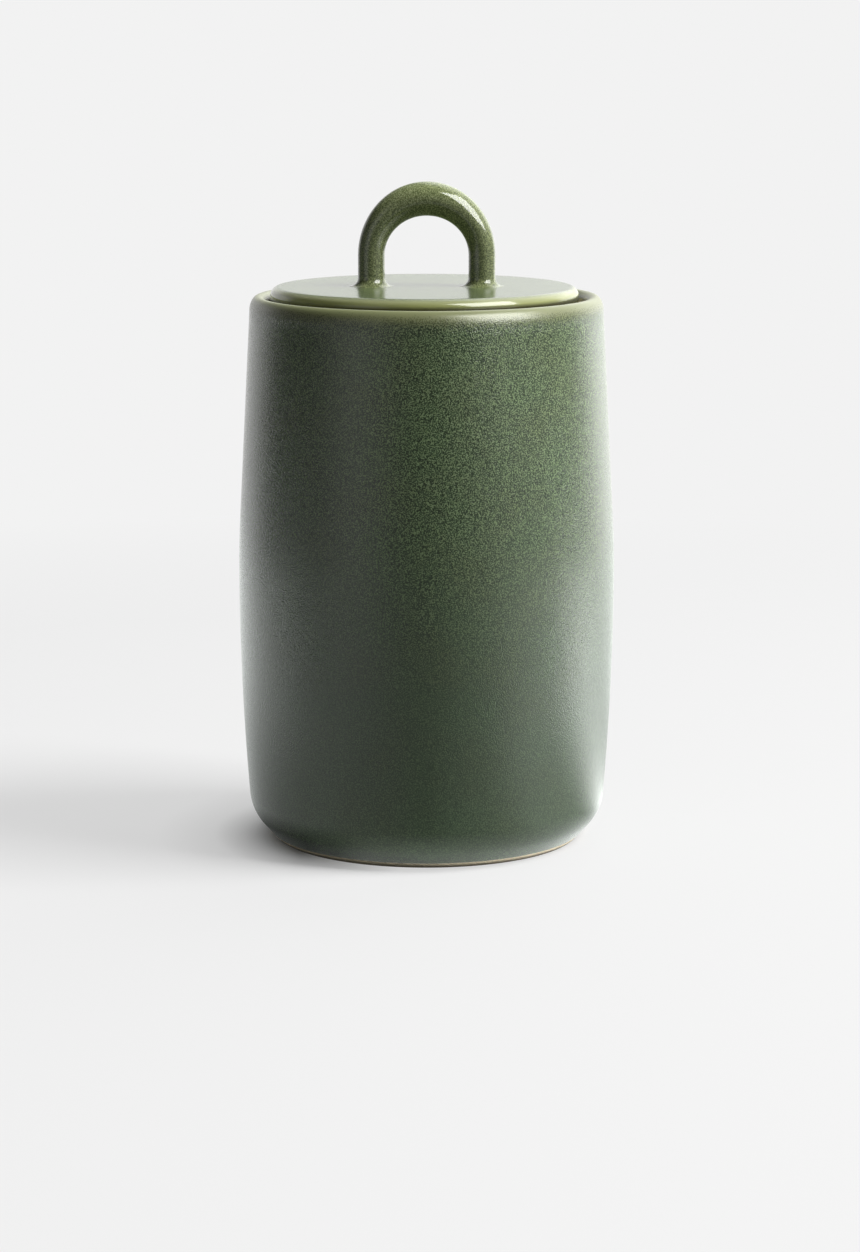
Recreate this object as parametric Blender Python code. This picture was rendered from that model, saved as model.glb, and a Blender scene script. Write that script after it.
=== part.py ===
"""Stoneware jar with a flat inset lid and a loop handle.

Metres, +Z up. The origin is the centre of the foot on the table, and +X is to the right as seen from
the front. The pot is turned round the Z axis. The lid lies in the mouth on an inner ledge, the gallery,
a little to the left of the centre.
"""

import math

import bmesh
import bpy

# Outside of the pot: a heel that cuts in under a long, slightly swelling wall
belly_radius = 0.0750
belly_height = 0.1080
belly_to_rim = 0.1098
lower_sweep_radius = 1.144
belly_bend_radius = 0.357
heel_round = 0.0188
heel_slope = math.radians(43.5)

# Rim, set in from the belly: a shoulder that is higher than the lip is wide
rim_inset = 0.0050
rim_round = 0.0034
rim_shoulder = 0.0060

# Foot of the pot, set in from the belly: a bare ring with a shallow recess inside it
foot_inset = 0.0140
foot_edge_bevel = 0.0005
foot_ring_width = 0.0060
foot_recess_depth = 0.0030
foot_recess_slope = 0.0015

# Inside of the pot
wall_thickness = 0.0060
floor_thickness = 0.0060
inner_heel_round = 0.0110

# Gallery: the ledge under the rim that carries the lid
bore_height = 0.0010
gallery_width = 0.0063
gallery_thickness = 0.0062
gallery_corner_round = 0.0005
gallery_lip_round = 0.0012
gallery_underside_slope = math.radians(42)

# Lid disc
lid_thickness = 0.0074
lid_clearance = 0.0023
lid_edge_round = 0.0035
lid_under_bevel = 0.0006
lid_off_centre = -0.0008
seat_gap = 0.0003

# Locating ring under the lid
ring_depth = 0.0050
ring_width = 0.0050
ring_clearance = 0.0020
ring_bevel = 0.0008

# Loop handle on the lid
handle_height = 0.0409
handle_half_width = 0.0218
handle_spring_height = 0.0120
handle_splay = 0.0003
handle_off_centre = 0.0009
leg_thickness = 0.0107
crown_thickness = 0.0132
leg_fillet = 0.0034

# Facets of the turned pieces, and how near the axis their points are welded
turning_segments = 72
axis_weld = 0.00005
heel_steps = 6
sweep_steps = 7
bend_steps = 3
rim_steps = 6
small_round_steps = 3
inner_wall_steps = 7
lid_edge_steps = 6

# Facets of the handle
tube_segments = 20
arch_steps = 18
leg_steps = 3
fillet_steps = 5

# Heights and radii that follow
jar_height = belly_height + belly_to_rim
foot_radius = belly_radius - foot_inset
rim_radius = belly_radius - rim_inset
floor_height = foot_recess_depth + floor_thickness
shoulder_height = jar_height - rim_shoulder
bore_top_height = jar_height - rim_round
mouth_radius = rim_radius - 2 * rim_round
gallery_height = bore_top_height - bore_height
neck_radius = mouth_radius - gallery_width
lid_radius = mouth_radius - lid_clearance
lid_bottom_height = gallery_height + seat_gap
lid_top_height = lid_bottom_height + lid_thickness
ring_radius = neck_radius - ring_clearance


def arc(centre, radius, start, end, steps):
    """Points (r, z) on an arc, from the start angle to the end angle, in radians from +r."""
    points = []
    for step in range(steps + 1):
        angle = start + (end - start) * step / steps
        points.append((centre[0] + radius * math.cos(angle), centre[1] + radius * math.sin(angle)))
    return points


def rounded(before, corner, after, radius):
    """Points (r, z) of the arc that rounds the corner between two straight stretches."""
    to_before = (before[0] - corner[0], before[1] - corner[1])
    to_after = (after[0] - corner[0], after[1] - corner[1])
    length_before = math.hypot(*to_before)
    length_after = math.hypot(*to_after)
    unit_before = (to_before[0] / length_before, to_before[1] / length_before)
    unit_after = (to_after[0] / length_after, to_after[1] / length_after)
    half = math.acos(unit_before[0] * unit_after[0] + unit_before[1] * unit_after[1]) / 2
    middle = (unit_before[0] + unit_after[0], unit_before[1] + unit_after[1])
    reach = radius / math.sin(half) / math.hypot(*middle)
    centre = (corner[0] + middle[0] * reach, corner[1] + middle[1] * reach)
    back = radius / math.tan(half)
    first = (corner[0] + unit_before[0] * back, corner[1] + unit_before[1] * back)
    last = (corner[0] + unit_after[0] * back, corner[1] + unit_after[1] * back)
    start = math.atan2(first[1] - centre[1], first[0] - centre[0])
    turn = math.atan2(last[1] - centre[1], last[0] - centre[0]) - start
    turn = (turn + math.pi) % (2 * math.pi) - math.pi
    return arc(centre, radius, start, start + turn, small_round_steps)


def outer_wall():
    """The pot's outside from the foot's edge up to the rim's shoulder, as points (r, z)."""
    # The wall below the belly is one long arc, and the heel is an arc that touches it from inside. Below
    # the heel a straight slope runs down to the foot's edge
    sweep_centre = (belly_radius - lower_sweep_radius, belly_height)
    foot = (foot_radius, foot_edge_bevel)
    slope = (math.sin(heel_slope), math.cos(heel_slope))
    to_sweep = (sweep_centre[0] - foot[0], sweep_centre[1] - foot[1])
    along = to_sweep[0] * slope[0] + to_sweep[1] * slope[1]
    aside = -to_sweep[0] * slope[1] + to_sweep[1] * slope[0] - heel_round
    reach = along + math.sqrt((lower_sweep_radius - heel_round) ** 2 - aside**2)
    heel_centre = (
        foot[0] + slope[0] * reach - slope[1] * heel_round,
        foot[1] + slope[1] * reach + slope[0] * heel_round,
    )
    lean = math.atan2(heel_centre[1] - sweep_centre[1], heel_centre[0] - sweep_centre[0])
    heel = arc(heel_centre, heel_round, -heel_slope, lean, heel_steps)
    sweep = arc(sweep_centre, lower_sweep_radius, lean, 0, sweep_steps)

    # Above the belly the wall bends and then runs straight to the shoulder of the rim
    bend_centre = (belly_radius - belly_bend_radius, belly_height)
    to_rim = (rim_radius - bend_centre[0], shoulder_height - bend_centre[1])
    taper = math.atan2(to_rim[1], to_rim[0]) - math.acos(belly_bend_radius / math.hypot(*to_rim))
    bend = arc(bend_centre, belly_bend_radius, 0, taper, bend_steps)
    return [foot] + heel + sweep[1:] + bend[1:] + [(rim_radius, shoulder_height)]


def radius_at(outline, height):
    """The outline's radius at a height, between its points."""
    for (low_r, low_z), (high_r, high_z) in zip(outline, outline[1:]):
        if low_z <= height <= high_z:
            return low_r + (high_r - low_r) * (height - low_z) / (high_z - low_z)
    return outline[-1][0]


def jar_outline():
    """The whole section of the pot, from the middle of its underside round to the middle of its floor."""
    outside = outer_wall()
    ring_inside = foot_radius - foot_ring_width
    foot = [
        (0, foot_recess_depth),
        (ring_inside - foot_recess_slope, foot_recess_depth),
        (ring_inside, 0),
        (foot_radius - foot_edge_bevel, 0),
    ]

    # Over the rim: a quarter of an ellipse up from the shoulder, then a round into the mouth
    crest_radius = rim_radius - rim_round
    rim = []
    for step in range(1, rim_steps):
        angle = math.pi / 2 * step / rim_steps
        across = rim_round * math.cos(angle)
        rim.append((crest_radius + across, shoulder_height + rim_shoulder * math.sin(angle)))
    rim += arc((crest_radius, bore_top_height), rim_round, math.pi / 2, math.pi, rim_steps)

    # The ledge, its rounded lip and the sloping underside that runs out into the wall
    lip_bottom = gallery_height - gallery_thickness
    inside_top = radius_at(outside, lip_bottom) - wall_thickness
    slope_drop = (inside_top - neck_radius) * math.tan(gallery_underside_slope)
    slope_end = (inside_top, lip_bottom - slope_drop)
    bore_top = (mouth_radius, bore_top_height)
    corner = (mouth_radius, gallery_height)
    lip_top = (neck_radius, gallery_height)
    lip_under = (neck_radius, lip_bottom)
    gallery = rounded(bore_top, corner, lip_top, gallery_corner_round)
    gallery += rounded(corner, lip_top, lip_under, gallery_lip_round)
    gallery += rounded(lip_top, lip_under, slope_end, gallery_lip_round)

    # The inner wall follows the outside, a wall thickness in, down to the round at the floor
    heel_top = floor_height + inner_heel_round
    heel_radius = radius_at(outside, heel_top) - wall_thickness
    inner_wall = [slope_end]
    for step in range(1, inner_wall_steps):
        height = slope_end[1] + (heel_top - slope_end[1]) * step / inner_wall_steps
        inner_wall.append((radius_at(outside, height) - wall_thickness, height))
    heel_centre = (heel_radius - inner_heel_round, heel_top)
    inner_heel = arc(heel_centre, inner_heel_round, 0, -math.pi / 2, heel_steps)
    return foot + outside + rim + gallery + inner_wall + inner_heel + [(0, floor_height)]


def lid_outline():
    """The section of the lid disc, from the middle of its underside round to the middle of its top."""
    ring_bottom = lid_bottom_height - ring_depth
    ring_inside = ring_radius - ring_width
    outline = [
        (0, lid_bottom_height),
        (ring_inside, lid_bottom_height),
        (ring_inside, ring_bottom + ring_bevel),
        (ring_inside + ring_bevel, ring_bottom),
        (ring_radius - ring_bevel, ring_bottom),
        (ring_radius, ring_bottom + ring_bevel),
        (ring_radius, lid_bottom_height),
        (lid_radius - lid_under_bevel, lid_bottom_height),
        (lid_radius, lid_bottom_height + lid_under_bevel),
    ]
    edge_centre = (lid_radius - lid_edge_round, lid_top_height - lid_edge_round)
    outline += arc(edge_centre, lid_edge_round, 0, math.pi / 2, lid_edge_steps)
    return outline + [(0, lid_top_height)]


def material(name, colour, roughness):
    """A fired clay or glaze finish as a Principled BSDF."""
    made = bpy.data.materials.new(name)
    made.use_nodes = True
    shader = made.node_tree.nodes["Principled BSDF"]
    shader.inputs["Base Color"].default_value = (*colour, 1)
    shader.inputs["Roughness"].default_value = roughness
    shader.inputs["Metallic"].default_value = 0
    return made


def add_piece(name, bm, finish, parent=None):
    """Turns a bmesh into a named, smooth-shaded object at the origin."""
    bmesh.ops.recalc_face_normals(bm, faces=bm.faces)
    mesh = bpy.data.meshes.new(name)
    bm.to_mesh(mesh)
    bm.free()
    mesh.shade_smooth()
    mesh.set_sharp_from_angle(angle=math.radians(35))
    mesh.materials.append(finish)
    piece = bpy.data.objects.new(name, mesh)
    bpy.context.scene.collection.objects.link(piece)
    piece.parent = parent
    return piece


def turned(outline, centre_x=0):
    """Spins an outline that starts and ends on the Z axis into one closed shell."""
    bm = bmesh.new()
    verts = [bm.verts.new((r, 0, z)) for r, z in outline]
    edges = [bm.edges.new(pair) for pair in zip(verts, verts[1:])]
    bmesh.ops.spin(
        bm,
        geom=verts + edges,
        cent=(0, 0, 0),
        axis=(0, 0, 1),
        angle=2 * math.pi,
        steps=turning_segments,
        use_merge=True,
    )
    # The spin leaves one copy of each axis point per step
    on_axis = [v for v in bm.verts if math.hypot(v.co.x, v.co.y) < axis_weld]
    bmesh.ops.remove_doubles(bm, verts=on_axis, dist=axis_weld)
    bmesh.ops.translate(bm, verts=bm.verts, vec=(centre_x, 0, 0))
    return bm


def make_jar_body():
    finish = material("jar_green_glaze", (0.060, 0.091, 0.056), 0.42)
    return add_piece("jar_body", turned(jar_outline()), finish)


def make_lid_plate(lid):
    finish = material("lid_green_glaze", (0.075, 0.105, 0.055), 0.35)
    return add_piece("lid_plate", turned(lid_outline()), finish, lid)


def handle_stations():
    """The handle's centre line as (x, z, direction, tube radius), from the left foot to the right foot."""
    leg_radius = leg_thickness / 2
    crown_gain = (crown_thickness - leg_thickness) / 2
    arch_rise = handle_height - crown_thickness / 2 - handle_spring_height
    foot_heights = [
        leg_fillet * (1 - math.cos(math.pi / 2 * step / fillet_steps)) for step in range(fillet_steps + 1)
    ]
    leg_heights = foot_heights + [
        leg_fillet + (handle_spring_height - leg_fillet) * step / leg_steps for step in range(1, leg_steps)
    ]
    leg = []
    for height in leg_heights:
        rise = 1 - height / handle_spring_height
        flare = 0
        if height < leg_fillet:
            flare = leg_fillet - math.sqrt(leg_fillet**2 - (leg_fillet - height) ** 2)
        leg.append((handle_half_width + handle_splay * rise**2, height, leg_radius + flare))
    left = [(-x, z, math.pi / 2, radius) for x, z, radius in leg]
    right = [(x, z, -math.pi / 2, radius) for x, z, radius in reversed(leg)]
    arch = []
    for step in range(arch_steps + 1):
        angle = math.pi * (1 - step / arch_steps)
        x = handle_half_width * math.cos(angle)
        z = handle_spring_height + arch_rise * math.sin(angle)
        along = math.atan2(-arch_rise * math.cos(angle), handle_half_width * math.sin(angle))
        arch.append((x, z, along, leg_radius + crown_gain * math.sin(angle) ** 2))
    return left + arch + right


def make_lid_handle(lid):
    """A round coil swept along the arch, with a fillet that spreads onto the lid at each foot."""
    foot_height = lid_top_height + seat_gap
    bm = bmesh.new()
    rings = []
    for x, z, along, radius in handle_stations():
        ring = []
        for segment in range(tube_segments):
            turn = 2 * math.pi * segment / tube_segments
            outwards = radius * math.cos(turn)
            place = (
                handle_off_centre + x - outwards * math.sin(along),
                radius * math.sin(turn),
                foot_height + z + outwards * math.cos(along),
            )
            ring.append(bm.verts.new(place))
        rings.append(ring)
    for low, high in zip(rings, rings[1:]):
        for segment in range(tube_segments):
            following = (segment + 1) % tube_segments
            bm.faces.new((low[segment], low[following], high[following], high[segment]))
    bm.faces.new(rings[0])
    bm.faces.new(rings[-1])
    finish = material("handle_green_glaze", (0.105, 0.140, 0.052), 0.30)
    return add_piece("lid_handle", bm, finish, lid)


for old in list(bpy.data.objects):
    bpy.data.objects.remove(old)

make_jar_body()

# The lid and its handle lift together, so both hang on one empty on the lift axis
lid_axis = bpy.data.objects.new("lid_lift_axis", None)
bpy.context.scene.collection.objects.link(lid_axis)
lid_axis.location = (lid_off_centre, 0, 0)
make_lid_plate(lid_axis)
make_lid_handle(lid_axis)
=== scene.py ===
import math

import bmesh
import bpy
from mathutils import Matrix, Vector


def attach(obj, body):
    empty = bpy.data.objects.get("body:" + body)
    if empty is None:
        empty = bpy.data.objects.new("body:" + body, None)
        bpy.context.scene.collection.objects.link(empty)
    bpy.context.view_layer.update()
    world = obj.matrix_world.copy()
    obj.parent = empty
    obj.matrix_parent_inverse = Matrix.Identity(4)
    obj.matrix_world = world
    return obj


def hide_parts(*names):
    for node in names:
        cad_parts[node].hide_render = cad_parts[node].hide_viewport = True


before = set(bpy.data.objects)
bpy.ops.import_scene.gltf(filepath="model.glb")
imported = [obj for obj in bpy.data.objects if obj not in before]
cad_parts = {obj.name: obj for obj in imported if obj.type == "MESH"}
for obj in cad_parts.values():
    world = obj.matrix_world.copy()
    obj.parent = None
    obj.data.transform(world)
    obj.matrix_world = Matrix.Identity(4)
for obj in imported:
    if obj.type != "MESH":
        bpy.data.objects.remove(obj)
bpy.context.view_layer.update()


# Camera: a long lens 1.4 m from the jar, a little above the lid and tilted down. The jar stands in the
# upper two thirds of an upright picture, 860 by 1252 pixels
picture_height = 1252
focal_length_in_pixels = 3535
sensor_height_in_millimetres = 36
camera_distance = 1.397
camera_height = 0.3422
camera_offset = 0.00138
camera_tilt = math.radians(10.45)

camera_data = bpy.data.cameras.new("camera")
camera_data.sensor_width = sensor_height_in_millimetres
camera_data.lens = sensor_height_in_millimetres * focal_length_in_pixels / picture_height
camera = bpy.data.objects.new("camera", camera_data)
bpy.context.scene.collection.objects.link(camera)
camera.location = (camera_offset, -camera_distance, camera_height)
camera.rotation_euler = (math.pi / 2 - camera_tilt, 0, 0)
bpy.context.scene.camera = camera


# The pot: one piece of slip-cast stoneware with a wiped foot ring, a swelling wall, a rounded rim and a
# ledge inside the rim for the lid. It is glazed inside and out, down to a bare line round the foot
belly_radius = 0.0750
belly_height = 0.1080
lower_sweep = 1.144
lower_sweep_turn = math.radians(4.535)
lower_sweep_steps = 24
heel_round = 0.0188
heel_slope = math.radians(43.5)
heel_steps = 14
foot_radius = 0.0610
foot_edge = 0.0005
foot_ring_width = 0.0060
foot_ring_round = 0.0006
foot_recess = 0.0030
foot_recess_round = 0.0007

upper_bend = 0.357
upper_bend_turn = math.radians(3.034)
upper_bend_steps = 8
shoulder_steps = 8
rim_radius = 0.0700
rim_height = 0.2174
rim_round = 0.0034
rim_shoulder = 0.0060
rim_steps = 12

gallery_height = 0.2134
gallery_width = 0.0063
gallery_thickness = 0.0062
gallery_round = 0.0012
gallery_corner = 0.0005
underside_drop = 0.0066

wall_thickness = 0.0060
thinner_under_gallery = 0.0003
upper_wall_taper = 0.053
upper_wall_heights = (0.180, 0.150, 0.127)
lower_wall_heights = (0.110, 0.090, 0.070, 0.050, 0.030)
floor_height = 0.0090
floor_draw_in = 0.0007
inner_heel_round = 0.0110
inner_heel_segments = 12
turning_steps = 192
same_point = 1e-5


def reach(bm, tip, radius, height):
    """Draws the outline on from its tip to a new radius and height, and returns the new tip."""
    tip = bmesh.ops.extrude_vert_indiv(bm, verts=[tip])["verts"][0]
    tip.co = (radius, 0, height)
    return tip


def swing(bm, tip, centre, turn, steps):
    """Draws an arc on from the tip round a centre (radius, height). A positive turn runs from +X to +Z."""
    done = bmesh.ops.spin(
        bm,
        geom=[tip],
        cent=(centre[0], 0, centre[1]),
        axis=(0, -1, 0),
        angle=turn,
        steps=steps,
        use_merge=False,
    )
    return done["geom_last"][0]


def ease(bm, corners, radius, segments=5):
    """Rounds corners of the outline."""
    bmesh.ops.bevel(
        bm,
        geom=corners,
        offset=radius,
        offset_type="OFFSET",
        segments=segments,
        profile=0.5,
        affect="VERTICES",
        material=-1,
    )


def turn_round(bm, centre_x=0):
    """Spins the whole outline round the upright axis into a closed shell."""
    bmesh.ops.spin(
        bm,
        geom=bm.verts[:] + bm.edges[:],
        cent=(0, 0, 0),
        axis=(0, 0, 1),
        angle=2 * math.pi,
        steps=turning_steps,
        use_merge=True,
    )
    poles = [v for v in bm.verts if v.co.xy.length < same_point]
    bmesh.ops.remove_doubles(bm, verts=poles, dist=same_point)
    bmesh.ops.translate(bm, verts=bm.verts, vec=(centre_x, 0, 0))


def finish_piece(name, bm, finish, body, node):
    """Makes a smooth object of the mesh, which stands for a CAD node and rides on its body."""
    bmesh.ops.recalc_face_normals(bm, faces=bm.faces)
    mesh = bpy.data.meshes.new(name)
    bm.to_mesh(mesh)
    bm.free()
    mesh.shade_smooth()
    mesh.materials.append(finish)
    piece = bpy.data.objects.new(name, mesh)
    bpy.context.scene.collection.objects.link(piece)
    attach(piece, body)
    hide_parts(node)


def linear(colour):
    """An sRGB hex colour as linear red, green, blue and an alpha of 1."""
    channels = [int(colour[i : i + 2], 16) / 255 for i in (1, 3, 5)]
    return (*[c / 12.92 if c <= 0.04045 else ((c + 0.055) / 1.055) ** 2.4 for c in channels], 1)


def add(tree, kind, settings=None, feeds=None, stops=(), gives=None):
    """Adds a node with its settings, its feeds by socket identifier (a value, a hex colour or the socket
    that it comes from) and the stops of its ramp (place, hex colour or level). Returns the output that
    gives names, or the first."""
    node = tree.nodes.new(kind)
    for name, value in (settings or {}).items():
        setattr(node, name, value)
    for index, (place, colour) in enumerate(stops):
        elements = node.color_ramp.elements
        element = elements[index] if index < len(elements) else elements.new(place)
        element.position = place
        element.color = linear(colour) if isinstance(colour, str) else (colour,) * 4
    sockets = {socket.identifier: socket for socket in node.inputs}
    for name, value in (feeds or {}).items():
        if isinstance(value, bpy.types.NodeSocket):
            tree.links.new(value, sockets[name])
        else:
            sockets[name].default_value = linear(value) if isinstance(value, str) else value
    outputs = {socket.identifier: socket for socket in node.outputs}
    return outputs[gives] if gives else node.outputs[0]


def start_material(name, values):
    """A new material with only its shader, and that shader's even values set on its own sockets."""
    made = bpy.data.materials.new(name)
    made.use_nodes = True
    shader = made.node_tree.nodes["Principled BSDF"]
    for socket, value in values.items():
        shader.inputs[socket].default_value = value
    return made, made.node_tree, shader


outline = bmesh.new()
belly = outline.verts.new((belly_radius, 0, belly_height))

# From the belly down to the foot and in to the middle of the underside
sweep_centre = (belly_radius - lower_sweep, belly_height)
tip = swing(outline, belly, sweep_centre, -lower_sweep_turn, lower_sweep_steps)
outwards = Vector((math.cos(lower_sweep_turn), -math.sin(lower_sweep_turn)))
heel_centre = (tip.co.x - heel_round * outwards.x, tip.co.z - heel_round * outwards.y)
tip = swing(outline, tip, heel_centre, lower_sweep_turn - heel_slope, heel_steps)
tip = reach(outline, tip, foot_radius + foot_edge / 2, foot_edge)
tip = reach(outline, tip, foot_radius - foot_edge, 0)
ring_corner = reach(outline, tip, foot_radius - foot_ring_width, 0)
recess_corner = reach(outline, ring_corner, foot_radius - foot_ring_width - foot_recess / 2, foot_recess)
reach(outline, recess_corner, 0, foot_recess)

# From the belly up to the shoulder, over the rim and down into the mouth
bend_centre = (belly_radius - upper_bend, belly_height)
tip = swing(outline, belly, bend_centre, upper_bend_turn, upper_bend_steps)
wall_top = tip.co.copy()
shoulder_height = rim_height - rim_shoulder
for step in range(1, shoulder_steps + 1):
    share = step / shoulder_steps
    radius = wall_top.x + (rim_radius - wall_top.x) * share
    tip = reach(outline, tip, radius, wall_top.z + (shoulder_height - wall_top.z) * share)
crest_radius = rim_radius - rim_round
for step in range(1, rim_steps + 1):
    angle = math.pi / 2 * step / rim_steps
    radius = crest_radius + rim_round * math.cos(angle)
    tip = reach(outline, tip, radius, shoulder_height + rim_shoulder * math.sin(angle))
tip = swing(outline, tip, (crest_radius, rim_height - rim_round), math.pi / 2, rim_steps)
mouth_radius = crest_radius - rim_round

# The ledge, the slope under it, the inner wall and the floor
lip_radius = mouth_radius - gallery_width
lip_underside = gallery_height - gallery_thickness
inner_radius = rim_radius - wall_thickness
seat_corner = reach(outline, tip, mouth_radius, gallery_height)
lip_top = reach(outline, seat_corner, lip_radius, gallery_height)
lip_bottom = reach(outline, lip_top, lip_radius, lip_underside)
tip = reach(outline, lip_bottom, inner_radius + thinner_under_gallery, lip_underside - underside_drop)
for height in upper_wall_heights:
    tip = reach(outline, tip, inner_radius + (rim_height - height) * upper_wall_taper, height)
for height in lower_wall_heights:
    narrowing = lower_sweep - math.sqrt(lower_sweep**2 - (belly_height - height) ** 2)
    tip = reach(outline, tip, belly_radius - wall_thickness - narrowing, height)
floor_corner = reach(outline, tip, tip.co.x - floor_draw_in, floor_height)
reach(outline, floor_corner, 0, floor_height)

ease(outline, [recess_corner], foot_recess_round)
ease(outline, [ring_corner], foot_ring_round)
ease(outline, [seat_corner], gallery_corner)
ease(outline, [lip_top, lip_bottom], gallery_round)
ease(outline, [floor_corner], inner_heel_round, inner_heel_segments)
turn_round(outline)

# Its finish is a reactive stoneware glaze: a dark green glass in which lighter crystals have grown, so the
# eye sees a fine mottle of dark and light green under a satin shine. Towards the foot it is smoother and
# darker. The real specks are about 0.8 mm apart, and they are drawn 1.1 mm apart so that they show. The
# noise repeats at 2.4 times the length that its scale stands for
speck_distance = 0.00108
cloud_distance = 0.048
noise_repeat = 2.4
speck_relief = 0.0004
glass_ior = 1.52


def reactive_glaze(name, dark, middle, light):
    """Starts a glaze with its crystals in three greens, and returns its parts for the piece to finish."""
    made, tree, shader = start_material(name, {"IOR": glass_ior})
    place = add(tree, "ShaderNodeTexCoord", gives="Object")
    noise = {"Vector": place, "Scale": noise_repeat / speck_distance, "Detail": 0.0}
    specks = add(tree, "ShaderNodeTexNoise", feeds=noise)
    shades = [(0.33, dark), (0.50, middle), (0.67, light)]
    crystals = add(tree, "ShaderNodeValToRGB", feeds={"Fac": specks}, stops=shades)
    return made, tree, shader, place, specks, crystals


mix_colours = {"data_type": "RGBA"}
tint_colours = {"data_type": "RGBA", "blend_type": "MULTIPLY"}
pot_finish, tree, shader, place, specks, crystals = reactive_glaze(
    "satin_reactive_glaze", "#2b3922", "#4c5f41", "#8ca172"
)
height = add(tree, "ShaderNodeSeparateXYZ", feeds={"Vector": place}, gives="Z")
up_wall = add(tree, "ShaderNodeMath", {"operation": "DIVIDE"}, {"Value": height, "Value_001": rim_height})

# Down the wall the crystals fade into an even, bluer green, the colour turns darker towards the foot, and
# broad clouds run warmer and cooler. The ramps up the wall go by shares of the height of the rim
crystal_fade_top = 0.140
crystal_fade_bottom = 0.070
crystal_fade_share = 0.66
crystal_fade = {"Value": height, "From Min": crystal_fade_top, "From Max": crystal_fade_bottom, "To Max": crystal_fade_share}
crystal_fade = add(tree, "ShaderNodeMapRange", feeds=crystal_fade)
colour = {"Factor_Float": crystal_fade, "A_Color": crystals, "B_Color": "#4b5c44"}
colour = add(tree, "ShaderNodeMix", mix_colours, colour, gives="Result_Color")
darker_towards_foot = [(0.14, "#d0d6d4"), (0.32, "#dce0de"), (0.67, "#e8ebe8"), (0.87, "#ffffff")]
darker_towards_foot = add(tree, "ShaderNodeValToRGB", feeds={"Fac": up_wall}, stops=darker_towards_foot)
colour = {"Factor_Float": 1.0, "A_Color": colour, "B_Color": darker_towards_foot}
colour = add(tree, "ShaderNodeMix", tint_colours, colour, gives="Result_Color")
noise = {"Vector": place, "Scale": noise_repeat / cloud_distance, "Detail": 3.0}
clouds = add(tree, "ShaderNodeTexNoise", feeds=noise)
cloudy = [(0.32, "#f5f1ec"), (0.5, "#f5f5f3"), (0.68, "#f5faf5")]
cloudy = add(tree, "ShaderNodeValToRGB", feeds={"Fac": clouds}, stops=cloudy)
colour = {"Factor_Float": 1.0, "A_Color": colour, "B_Color": cloudy}
colour = add(tree, "ShaderNodeMix", tint_colours, colour, gives="Result_Color")

# The glaze breaks thin and olive over the rim, with a ragged lower edge
thin_from_height = 0.2136
thin_by_height = 0.2182
ragged_height = 0.0060
ragged = {"Value": specks, "Value_001": ragged_height, "Value_002": height}
ragged = add(tree, "ShaderNodeMath", {"operation": "MULTIPLY_ADD"}, ragged)
thin = {"Value": ragged, "From Min": thin_from_height, "From Max": thin_by_height}
thin = add(tree, "ShaderNodeMapRange", feeds=thin)
colour = {"Factor_Float": thin, "A_Color": colour, "B_Color": "#7b8059"}
colour = add(tree, "ShaderNodeMix", mix_colours, colour, gives="Result_Color")

# The clay is bare on the ledge and round the foot, and its bottom edge is painted dark as the shadow where
# it meets the table
foot_glaze_begins = 0.0024
foot_clay_begins = 0.0020
mouth_blend = 0.0002
bare_foot = {"Value": height, "From Min": foot_glaze_begins, "From Max": foot_clay_begins}
bare_foot = add(tree, "ShaderNodeMapRange", feeds=bare_foot)
from_axis = {"Vector": place, "Vector_001": (1, 1, 0)}
from_axis = add(tree, "ShaderNodeVectorMath", {"operation": "MULTIPLY"}, from_axis)
from_axis = add(tree, "ShaderNodeVectorMath", {"operation": "LENGTH"}, {"Vector": from_axis}, gives="Value")
inside = {"Value": from_axis, "From Min": mouth_radius + mouth_blend}
inside["From Max"] = mouth_radius - mouth_blend
inside = add(tree, "ShaderNodeMapRange", feeds=inside)
ledge = [(0.970, 0), (0.974, 1), (0.9815, 1), (0.984, 0)]
ledge = add(tree, "ShaderNodeValToRGB", feeds={"Fac": up_wall}, stops=ledge)
bare = {"Value": inside, "Value_001": ledge, "Value_002": bare_foot}
bare = add(tree, "ShaderNodeMath", {"operation": "MULTIPLY_ADD"}, bare)
# Cream clay, painted dark brown at the very bottom as the contact shadow on the table
clay_with_painted_contact_shadow = [(0.0034, "#3d3325"), (0.0050, "#f2e5c8")]
clay_with_painted_contact_shadow = add(tree, "ShaderNodeValToRGB", feeds={"Fac": up_wall}, stops=clay_with_painted_contact_shadow)
colour = {"Factor_Float": bare, "A_Color": colour, "B_Color": clay_with_painted_contact_shadow}
colour = add(tree, "ShaderNodeMix", mix_colours, colour, gives="Result_Color")
tree.links.new(colour, shader.inputs["Base Color"])

# The specks stand out most just under the rim, and the glaze nearly covers them near the foot
thin_glaze_relief = 0.05
satin_roughness = 0.17
thin_glaze_roughness = 0.3
relief = [(0, 0.1), (0.3, 0.3), (0.955, 0.3), (0.985, 0.6)]
relief = add(tree, "ShaderNodeValToRGB", feeds={"Fac": up_wall}, stops=relief)
relief = {"Value": thin, "To Min": relief, "To Max": thin_glaze_relief}
relief = add(tree, "ShaderNodeMapRange", feeds=relief)
bump = add(tree, "ShaderNodeBump", feeds={"Height": specks, "Strength": relief, "Distance": speck_relief})
tree.links.new(bump, shader.inputs["Normal"])
roughness = {"Value": thin, "To Min": satin_roughness, "To Max": thin_glaze_roughness}
roughness = add(tree, "ShaderNodeMapRange", feeds=roughness)
roughness = add(tree, "ShaderNodeMath", {"operation": "MAXIMUM"}, {"Value": roughness, "Value_001": bare})
tree.links.new(roughness, shader.inputs["Roughness"])

finish_piece("pot", outline, pot_finish, "jar", "jar_body")


# The lid: a flat disc of cast stoneware with a rounded edge, and a low ring underneath that keeps it in
# the mouth. It lies on the ledge a little to the left of the centre
lid_radius = 0.0609
lid_bottom = 0.2137
lid_top = 0.2211
lid_top_rings = (0.052, 0.040, 0.020, 0)
lid_off_centre = -0.0008
lid_edge_round = 0.0035
lid_edge_steps = 14
lid_under_edge = 0.0006
ring_radius = 0.0549
ring_width = 0.0050
ring_depth = 0.0050
ring_edge = 0.0008

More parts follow.
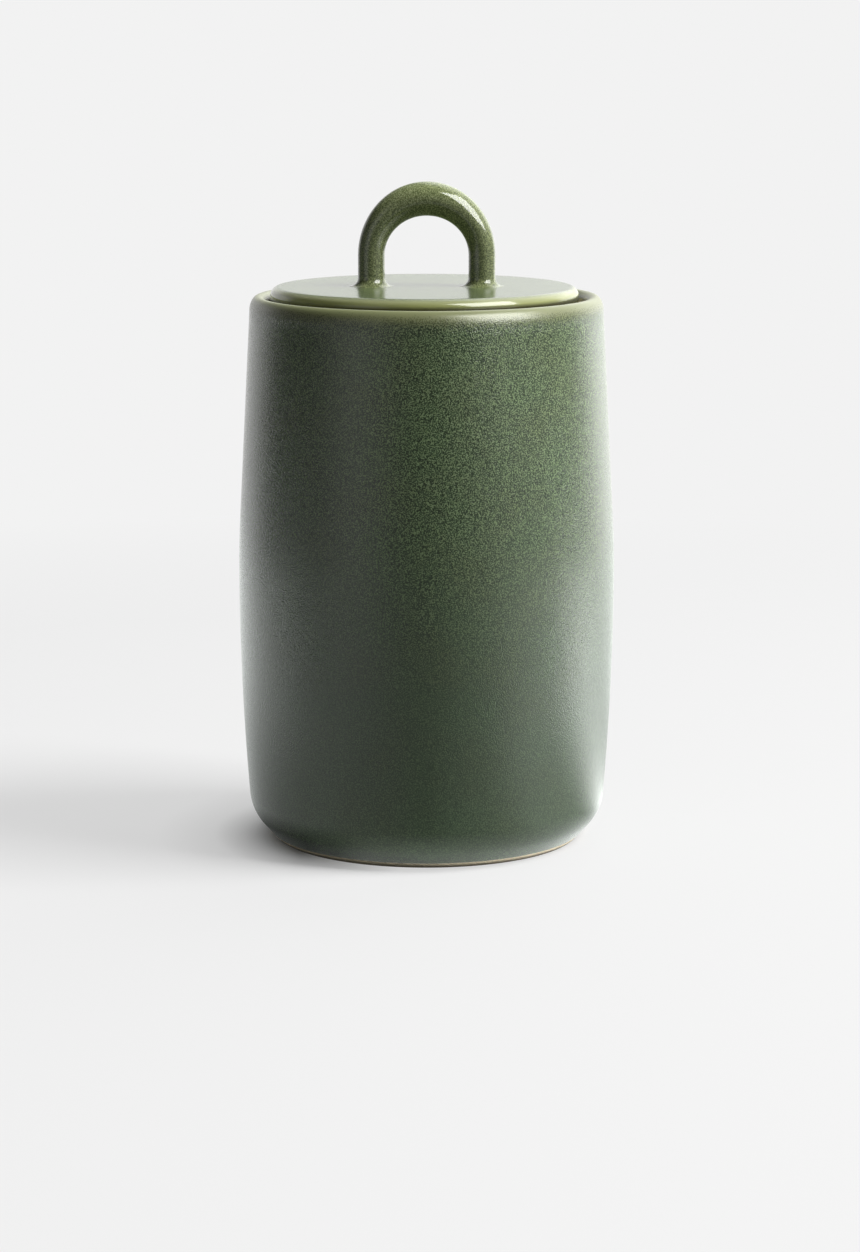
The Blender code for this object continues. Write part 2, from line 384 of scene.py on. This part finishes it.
outline = bmesh.new()
tip = outline.verts.new((0, 0, lid_bottom))
tip = reach(outline, tip, ring_radius - ring_width, lid_bottom)
ring_corners = [tip]
for radius, height in (
    (ring_radius - ring_width, lid_bottom - ring_depth),
    (ring_radius, lid_bottom - ring_depth),
    (ring_radius, lid_bottom),
):
    tip = reach(outline, tip, radius, height)
    ring_corners.append(tip)
under_edge = reach(outline, tip, lid_radius, lid_bottom)
tip = reach(outline, under_edge, lid_radius, lid_top - lid_edge_round)
edge_centre = (lid_radius - lid_edge_round, lid_top - lid_edge_round)
tip = swing(outline, tip, edge_centre, math.pi / 2, lid_edge_steps)
for radius in lid_top_rings:
    tip = reach(outline, tip, radius, lid_top)
ease(outline, ring_corners, ring_edge)
ease(outline, [under_edge], lid_under_edge)
turn_round(outline, lid_off_centre)

# It has the same glaze with a gloss, so the eye sees the room in its top, which waves very slightly. The
# glaze breaks thin and olive on the round of the edge, painted darker lower down as the shade in the gap
# above the rim, and the clay underneath is bare
lid_finish, tree, shader, place, _, crystals = reactive_glaze(
    "gloss_reactive_glaze_lid", "#353f29", "#4d593a", "#717e56"
)
thin_from_radius = 0.0582
thin_by_radius = 0.0599
edge_bottom = 0.2168
edge_top = 0.2206
glaze_begins = 0.2146
clay_begins = 0.2142
top_roughness = 0.2
edge_roughness = 0.13
wave_height = 0.0001
from_centre = {"Vector": place, "Vector_001": (1, 1, 0), "Vector_002": (-lid_off_centre, 0, 0)}
from_centre = add(tree, "ShaderNodeVectorMath", {"operation": "MULTIPLY_ADD"}, from_centre)
from_centre = {"Vector": from_centre}
from_centre = add(tree, "ShaderNodeVectorMath", {"operation": "LENGTH"}, from_centre, gives="Value")
thin = {"Value": from_centre, "From Min": thin_from_radius, "From Max": thin_by_radius}
thin = add(tree, "ShaderNodeMapRange", feeds=thin)
height = add(tree, "ShaderNodeSeparateXYZ", feeds={"Vector": place}, gives="Z")
up_edge = {"Value": height, "From Min": edge_bottom, "From Max": edge_top}
up_edge = add(tree, "ShaderNodeMapRange", feeds=up_edge)
# Olive on the round of the edge, painted dark lower down as the shade in the gap between lid and rim
olive_and_painted_gap_shade = [(0.1, "#3e3d26"), (0.45, "#93985f"), (1.0, "#969a76")]
olive_and_painted_gap_shade = add(tree, "ShaderNodeValToRGB", feeds={"Fac": up_edge}, stops=olive_and_painted_gap_shade)
colour = {"Factor_Float": thin, "A_Color": crystals, "B_Color": olive_and_painted_gap_shade}
colour = add(tree, "ShaderNodeMix", mix_colours, colour, gives="Result_Color")
bare = {"Value": height, "From Min": glaze_begins, "From Max": clay_begins}
bare = add(tree, "ShaderNodeMapRange", feeds=bare)
colour = {"Factor_Float": bare, "A_Color": colour, "B_Color": "#e3d4b4"}
colour = add(tree, "ShaderNodeMix", mix_colours, colour, gives="Result_Color")
tree.links.new(colour, shader.inputs["Base Color"])
roughness = {"Value": thin, "To Min": top_roughness, "To Max": edge_roughness}
roughness = add(tree, "ShaderNodeMapRange", feeds=roughness)
roughness = add(tree, "ShaderNodeMath", {"operation": "MAXIMUM"}, {"Value": roughness, "Value_001": bare})
tree.links.new(roughness, shader.inputs["Roughness"])
noise = {"Vector": place, "Scale": noise_repeat / cloud_distance, "Detail": 3.0}
waves = add(tree, "ShaderNodeTexNoise", feeds=noise)
bump = add(tree, "ShaderNodeBump", feeds={"Height": waves, "Strength": 1.0, "Distance": wave_height})
tree.links.new(bump, shader.inputs["Normal"])

finish_piece("lid", outline, lid_finish, "lid", "lid_plate")


# The handle: a coil of stoneware clay bent to an arch, thicker at its crown, and joined to the lid with a
# small fillet of slip and glaze round each foot
arch_half_width = 0.0218
arch_spring = 0.0120
arch_rise = 0.0223
arch_centre = 0.0001
leg_radius = 0.00535
crown_radius = 0.0066
foot_fillet = 0.0034
coil_sides = 48
arch_steps = 64
leg_steps = 6
fillet_steps = 10

coil = bmesh.new()
start = bmesh.ops.create_circle(coil, cap_ends=False, segments=coil_sides, radius=leg_radius)["verts"]
bmesh.ops.translate(coil, verts=start, vec=(-arch_half_width, 0, 0))
end = bmesh.ops.spin(
    coil,
    geom=coil.verts[:] + coil.edges[:],
    cent=(0, 0, 0),
    axis=(0, 1, 0),
    angle=math.pi,
    steps=arch_steps,
    use_merge=False,
)["geom_last"]
end = [g for g in end if isinstance(g, bmesh.types.BMVert)]
for vert in coil.verts:
    turn = math.atan2(vert.co.z, vert.co.x)
    swell = 1 + (crown_radius / leg_radius - 1) * math.sin(turn) ** 2
    centre = Vector((arch_half_width * math.cos(turn), 0, arch_half_width * math.sin(turn)))
    vert.co = centre + (vert.co - centre) * swell
bmesh.ops.scale(coil, verts=coil.verts, vec=(1, 1, arch_rise / arch_half_width))

# Each leg is drawn down from the arch's end, and then spreads in a fillet onto the lid
levels = [arch_spring * (1 - step / leg_steps) for step in range(1, leg_steps)]
levels = [level for level in levels if level > foot_fillet]
quarter_turn = [math.pi / 2 * step / fillet_steps for step in range(fillet_steps + 1)]
levels += [foot_fillet * (1 - math.sin(turn)) for turn in quarter_turn]
for centre_x, leg in ((-arch_half_width, start), (arch_half_width, end)):
    ring = list(dict.fromkeys(e for v in leg for e in v.link_edges if all(w in leg for w in e.verts)))
    radius, last_level = leg_radius, arch_spring
    for level in levels:
        grown = bmesh.ops.extrude_edge_only(coil, edges=ring)["geom"]
        verts = [g for g in grown if isinstance(g, bmesh.types.BMVert)]
        ring = [g for g in grown if isinstance(g, bmesh.types.BMEdge)]
        bmesh.ops.translate(coil, verts=verts, vec=(0, 0, level - last_level))
        spread = foot_fillet - math.sqrt(foot_fillet**2 - (foot_fillet - min(level, foot_fillet)) ** 2)
        wider = (leg_radius + spread) / radius
        for vert in verts:
            vert.co.x = centre_x + (vert.co.x - centre_x) * wider
            vert.co.y *= wider
        radius, last_level = leg_radius + spread, level
    bmesh.ops.edgeloop_fill(coil, edges=ring)
bmesh.ops.translate(coil, verts=coil.verts, vec=(arch_centre, 0, lid_top + arch_spring))

# It has the same glaze at its glossiest, so the eye sees small sharp highlights. Its crystals are lighter
# and yellower over the crown, partly where the glaze is thin and partly as painted light falling on its top
crown_begins = 0.2350
crown_top = 0.2560
gloss_roughness = 0.1
gloss_relief = 0.03
handle_finish, tree, shader, place, specks, crystals = reactive_glaze(
    "gloss_reactive_glaze_handle", "#4d5636", "#646d49", "#899164"
)
height = add(tree, "ShaderNodeSeparateXYZ", feeds={"Vector": place}, gives="Z")
crown = {"Value": height, "From Min": crown_begins, "From Max": crown_top}
crown = add(tree, "ShaderNodeMapRange", feeds=crown)
# Lighter crystals over the crown: thin glaze, and painted light from above
thin_glaze_and_painted_light = [(0.33, "#59633f"), (0.50, "#757e55"), (0.67, "#97a072")]
thin_glaze_and_painted_light = add(tree, "ShaderNodeValToRGB", feeds={"Fac": specks}, stops=thin_glaze_and_painted_light)
colour = {"Factor_Float": crown, "A_Color": crystals, "B_Color": thin_glaze_and_painted_light}
colour = add(tree, "ShaderNodeMix", mix_colours, colour, gives="Result_Color")
tree.links.new(colour, shader.inputs["Base Color"])
bump = {"Height": specks, "Strength": gloss_relief, "Distance": speck_relief}
bump = add(tree, "ShaderNodeBump", feeds=bump)
tree.links.new(bump, shader.inputs["Normal"])
shader.inputs["Roughness"].default_value = gloss_roughness

finish_piece("handle", coil, handle_finish, "lid", "lid_handle")


# The studio: the jar stands on white paper. The soft light of a window high on the right throws its shadow,
# and a softbox beside the window makes the white highlights. The glaze also mirrors a dim room, a bright
# backdrop behind the jar and the paper
floor_radius = 0.9
floor_sides = 96
lamp_distance = 3.0
background = linear("#f2f2f2")
mix_levels = {"data_type": "FLOAT"}


def panorama(tree, direction, lights):
    """The light by bearing, from lights of (degrees clockwise from straight behind the jar, strength)."""
    brightest = max(strength for degrees, strength in lights)
    across = add(tree, "ShaderNodeSeparateXYZ", feeds={"Vector": direction})
    bearing = {"Value": across, "Value_001": across.node.outputs["Y"]}
    bearing = add(tree, "ShaderNodeMath", {"operation": "ARCTAN2"}, bearing)
    turn = {"Value": bearing, "From Min": -math.pi, "From Max": math.pi}
    turn = add(tree, "ShaderNodeMapRange", feeds=turn)
    shares = [((degrees + 180) / 360, strength / brightest) for degrees, strength in lights]
    share = add(tree, "ShaderNodeValToRGB", feeds={"Fac": turn}, stops=shares)
    return add(tree, "ShaderNodeMath", {"operation": "MULTIPLY"}, {"Value": share, "Value_001": brightest})


table = bmesh.new()
bmesh.ops.create_circle(table, cap_ends=True, segments=floor_sides, radius=floor_radius)
table_mesh = bpy.data.meshes.new("table")
table.to_mesh(table_mesh)
table.free()
floor = bpy.data.objects.new("table", table_mesh)
bpy.context.scene.collection.objects.link(floor)

# Matt white paper, which throws light back on the jar mostly from close to its foot
paper, tree, shader = start_material("white_paper", {"Roughness": 0.9, "Specular IOR Level": 0.0})
place = add(tree, "ShaderNodeTexCoord", gives="Object")
distance = add(tree, "ShaderNodeVectorMath", {"operation": "LENGTH"}, {"Vector": place}, gives="Value")
bounce = [(0.07, "#f0f0f0"), (0.09, "#c0c0c0"), (0.2, "#4c4c4c")]
bounce = add(tree, "ShaderNodeValToRGB", feeds={"Fac": distance}, stops=bounce)
tree.links.new(bounce, shader.inputs["Base Color"])

# The camera sees paper with a glow of its own, which lightens the jar's shadow. It glows less close to the
# foot at the left, which paints a dark contact shadow there, and fades into the background far from the jar
paper_glow = 0.68
glowing_whiteness = 0.2
unlit_whiteness = 0.85
left_from = -0.01
left_by = -0.05
fades_from = 0.5
fades_by = 0.85
left = add(tree, "ShaderNodeSeparateXYZ", feeds={"Vector": place}, gives="X")
left = add(tree, "ShaderNodeMapRange", feeds={"Value": left, "From Min": left_from, "From Max": left_by})
# The glow drops close to the foot, a painted contact shadow
painted_contact_shadow = [(0.062, 0.02), (0.072, 0.30), (0.086, 0.57), (0.11, paper_glow)]
painted_contact_shadow = add(tree, "ShaderNodeValToRGB", feeds={"Fac": distance}, stops=painted_contact_shadow)
glow = {"Factor_Float": left, "A_Float": paper_glow, "B_Float": painted_contact_shadow}
glow = add(tree, "ShaderNodeMix", mix_levels, glow)
whiteness = {"Value": glow, "From Max": paper_glow}
whiteness |= {"To Min": unlit_whiteness, "To Max": glowing_whiteness}
whiteness = add(tree, "ShaderNodeMapRange", feeds=whiteness)
glowing = add(tree, "ShaderNodeEmission", feeds={"Color": background, "Strength": glow})
lit = add(tree, "ShaderNodeBsdfDiffuse", feeds={"Color": whiteness})
near = add(tree, "ShaderNodeAddShader", feeds={"Shader": glowing, "Shader_001": lit})
far = add(tree, "ShaderNodeEmission", feeds={"Color": background, "Strength": 1.0})
fade = {"Value": distance, "From Min": fades_from, "From Max": fades_by}
fade = add(tree, "ShaderNodeMapRange", feeds=fade)
seen = add(tree, "ShaderNodeMixShader", feeds={"Fac": fade, "Shader": near, "Shader_001": far})

# The glaze mirrors the paper as a glow by bearing, with painted light on the right and painted shade to the
# left: far out, near the jar, and in the ring close to its foot
far_paper = [(-180, 0.42), (-112, 1.2), (-85, 2.0), (-40, 1.8), (0, 1.2), (44, 2.3), (57, 2.6)]
far_paper += [(68, 4.7), (77, 6.9), (89, 6.0), (103, 3.5), (127, 2.3), (145, 1.0), (180, 0.42)]
near_paper = [(-180, 0.3), (-130, 0.75), (-60, 0.7), (0, 0.4), (30, 0.6), (44, 1.1), (52, 1.6)]
near_paper += [(63, 2.6), (75, 2.5), (85, 1.7), (96, 1.0), (127, 1.5), (150, 0.7), (180, 0.3)]
# Close to the foot the glow is dim to the left, a painted shadow of the jar
foot_paper = [(-180, 0.95), (-158, 0.7), (-145, 0.25), (-130, 0.1), (-90, 0.1), (60, 0.7)]
foot_paper += [(105, 1.5), (140, 1.4), (180, 0.95)]
foot_paper_from = 0.070
foot_paper_by = 0.095
outward = [(0.10, 0), (0.22, 0.3), (0.36, 0.8), (0.6, 1.0)]
outward = add(tree, "ShaderNodeValToRGB", feeds={"Fac": distance}, stops=outward)
level = {"Factor_Float": outward, "A_Float": panorama(tree, place, near_paper)}
level["B_Float"] = panorama(tree, place, far_paper)
level = add(tree, "ShaderNodeMix", mix_levels, level)
past_foot = {"Value": distance, "From Min": foot_paper_from, "From Max": foot_paper_by}
past_foot = add(tree, "ShaderNodeMapRange", feeds=past_foot)
level = {"Factor_Float": past_foot, "A_Float": panorama(tree, place, foot_paper), "B_Float": level}
level = add(tree, "ShaderNodeMix", mix_levels, level)
paper_glow_for_reflections = add(tree, "ShaderNodeEmission", feeds={"Color": "#fbfffd", "Strength": level})

rays = add(tree, "ShaderNodeLightPath").node.outputs
surface = {"Fac": rays["Is Glossy Ray"], "Shader": shader.outputs["BSDF"], "Shader_001": paper_glow_for_reflections}
surface = add(tree, "ShaderNodeMixShader", feeds=surface)
surface = {"Fac": rays["Is Camera Ray"], "Shader": surface, "Shader_001": seen}
surface = add(tree, "ShaderNodeMixShader", feeds=surface)
tree.links.new(surface, tree.nodes["Material Output"].inputs["Surface"])
floor.data.materials.append(paper)

# Each lamp has its direction from the jar, width, height, watts, and whether it shows as a highlight
for name, direction, width, height, watts, highlight in (
    ("window", (0.61, -0.13, 0.78), 1.3, 1.3, 132, False),
    ("softbox", (0.63, -0.45, 0.63), 2.1, 2.2, 190, True),
):
    light = bpy.data.lights.new(name, "AREA")
    light.shape = "RECTANGLE"
    light.size, light.size_y, light.energy = width, height, watts
    lamp = bpy.data.objects.new(name, light)
    bpy.context.scene.collection.objects.link(lamp)
    lamp.visible_glossy = highlight
    lamp.visible_diffuse = not highlight
    lamp.location = Vector(direction) * lamp_distance
    lamp.rotation_euler = Vector(direction).to_track_quat("Z", "Y").to_euler()

world = bpy.data.worlds.new("studio")
bpy.context.scene.world = world
world.use_nodes = True
tree = world.node_tree
backdrop = tree.nodes["Background"]
backdrop.inputs["Color"].default_value = (1, 1, 1, 1)
room = [(-180, 0.2), (-157, 0.25), (-143, 1.0), (-125, 0.8), (-108, 0.2), (-65, 0.24), (-50, 1.1)]
room += [(0, 1.05), (40, 2.6), (54, 3.0), (65, 0.8), (125, 0.8), (150, 0.45), (180, 0.2)]
direction = add(tree, "ShaderNodeTexCoord", gives="Generated")

# The room is dimmer higher up, and a long panel hangs over the back of the table and its right side, from
# about 20 to 70 degrees up. Both go by the sine of the angle up
dims_from = 0.26
dims_by = 0.46
dimmed_share = 0.25
up = add(tree, "ShaderNodeSeparateXYZ", feeds={"Vector": direction}, gives="Z")
low = {"Value": up, "From Min": dims_from, "From Max": dims_by, "To Min": 1.0, "To Max": dimmed_share}
low = add(tree, "ShaderNodeMapRange", feeds=low)
panel = [(0.2, 0), (0.4, 1), (0.92, 1), (0.97, 0)]
panel = add(tree, "ShaderNodeValToRGB", feeds={"Fac": up}, stops=panel)
behind = panorama(tree, direction, [(-12, 0), (8, 2.0), (90, 1.3), (110, 0)])
panel = add(tree, "ShaderNodeMath", {"operation": "MULTIPLY"}, {"Value": panel, "Value_001": behind})
level = {"Value": panorama(tree, direction, room), "Value_001": low, "Value_002": panel}
level = add(tree, "ShaderNodeMath", {"operation": "MULTIPLY_ADD"}, level)

# Matt surfaces get less than half of what the glaze mirrors, and the camera sees an even backdrop
matt_share = 0.44
rays = add(tree, "ShaderNodeLightPath").node.outputs
held = add(tree, "ShaderNodeMath", {"operation": "MULTIPLY"}, {"Value": level, "Value_001": matt_share})
level = {"Factor_Float": rays["Is Diffuse Ray"], "A_Float": level, "B_Float": held}
level = add(tree, "ShaderNodeMix", mix_levels, level)
level = {"Factor_Float": rays["Is Camera Ray"], "A_Float": level, "B_Float": background[0]}
level = add(tree, "ShaderNodeMix", mix_levels, level)
tree.links.new(level, backdrop.inputs["Strength"])

bpy.context.scene.view_settings.view_transform = "Standard"
